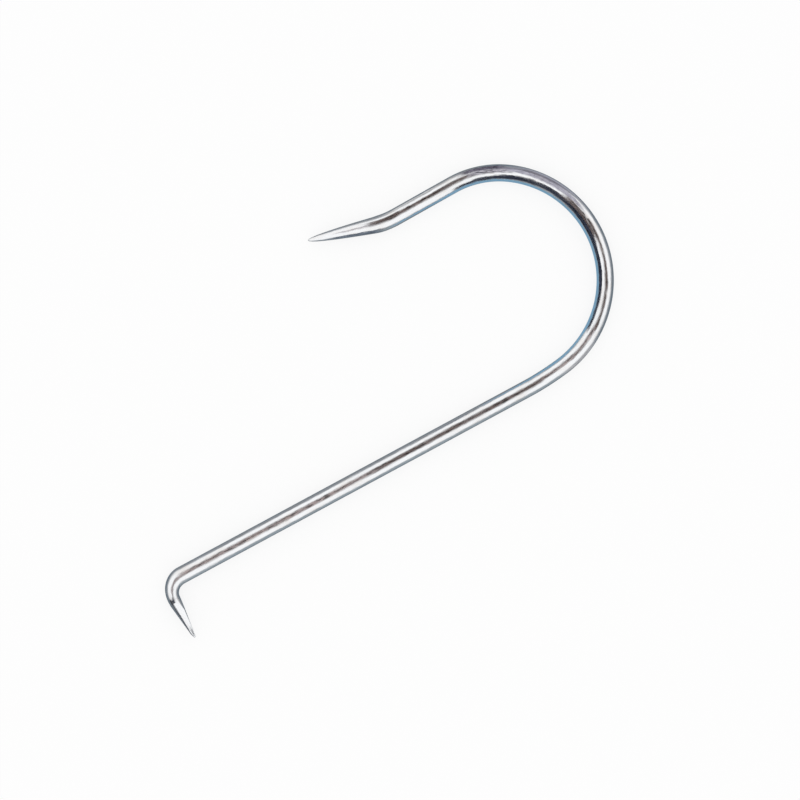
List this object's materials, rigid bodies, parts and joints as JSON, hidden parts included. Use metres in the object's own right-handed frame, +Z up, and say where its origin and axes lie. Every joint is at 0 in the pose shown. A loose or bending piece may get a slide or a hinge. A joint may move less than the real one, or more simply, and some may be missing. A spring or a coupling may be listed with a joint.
{
  "type": "gaff hook",
  "caption": "Bare gaff hook: a polished round steel bar bent to a wide open hook, with a slim round point and a short square-turned spike that is driven into a pole.",
  "frame": {"origin": "middle of the hook's outline, on the surface that it lies on", "axes": "+X along the straight shank from the spike to the big bend, +Y from the shank towards the point, +Z up, square to the plane that the bar is bent in"},
  "size_m": [0.2586, 0.1372, 0.008],
  "materials": {
    "polished_steel": "bright polished stainless bar with fine lengthwise draw lines and cross-ground point and spike"
  },
  "bodies": {
    "root": {"gaff_hook": "polished_steel"}
  },
  "joints": []
}
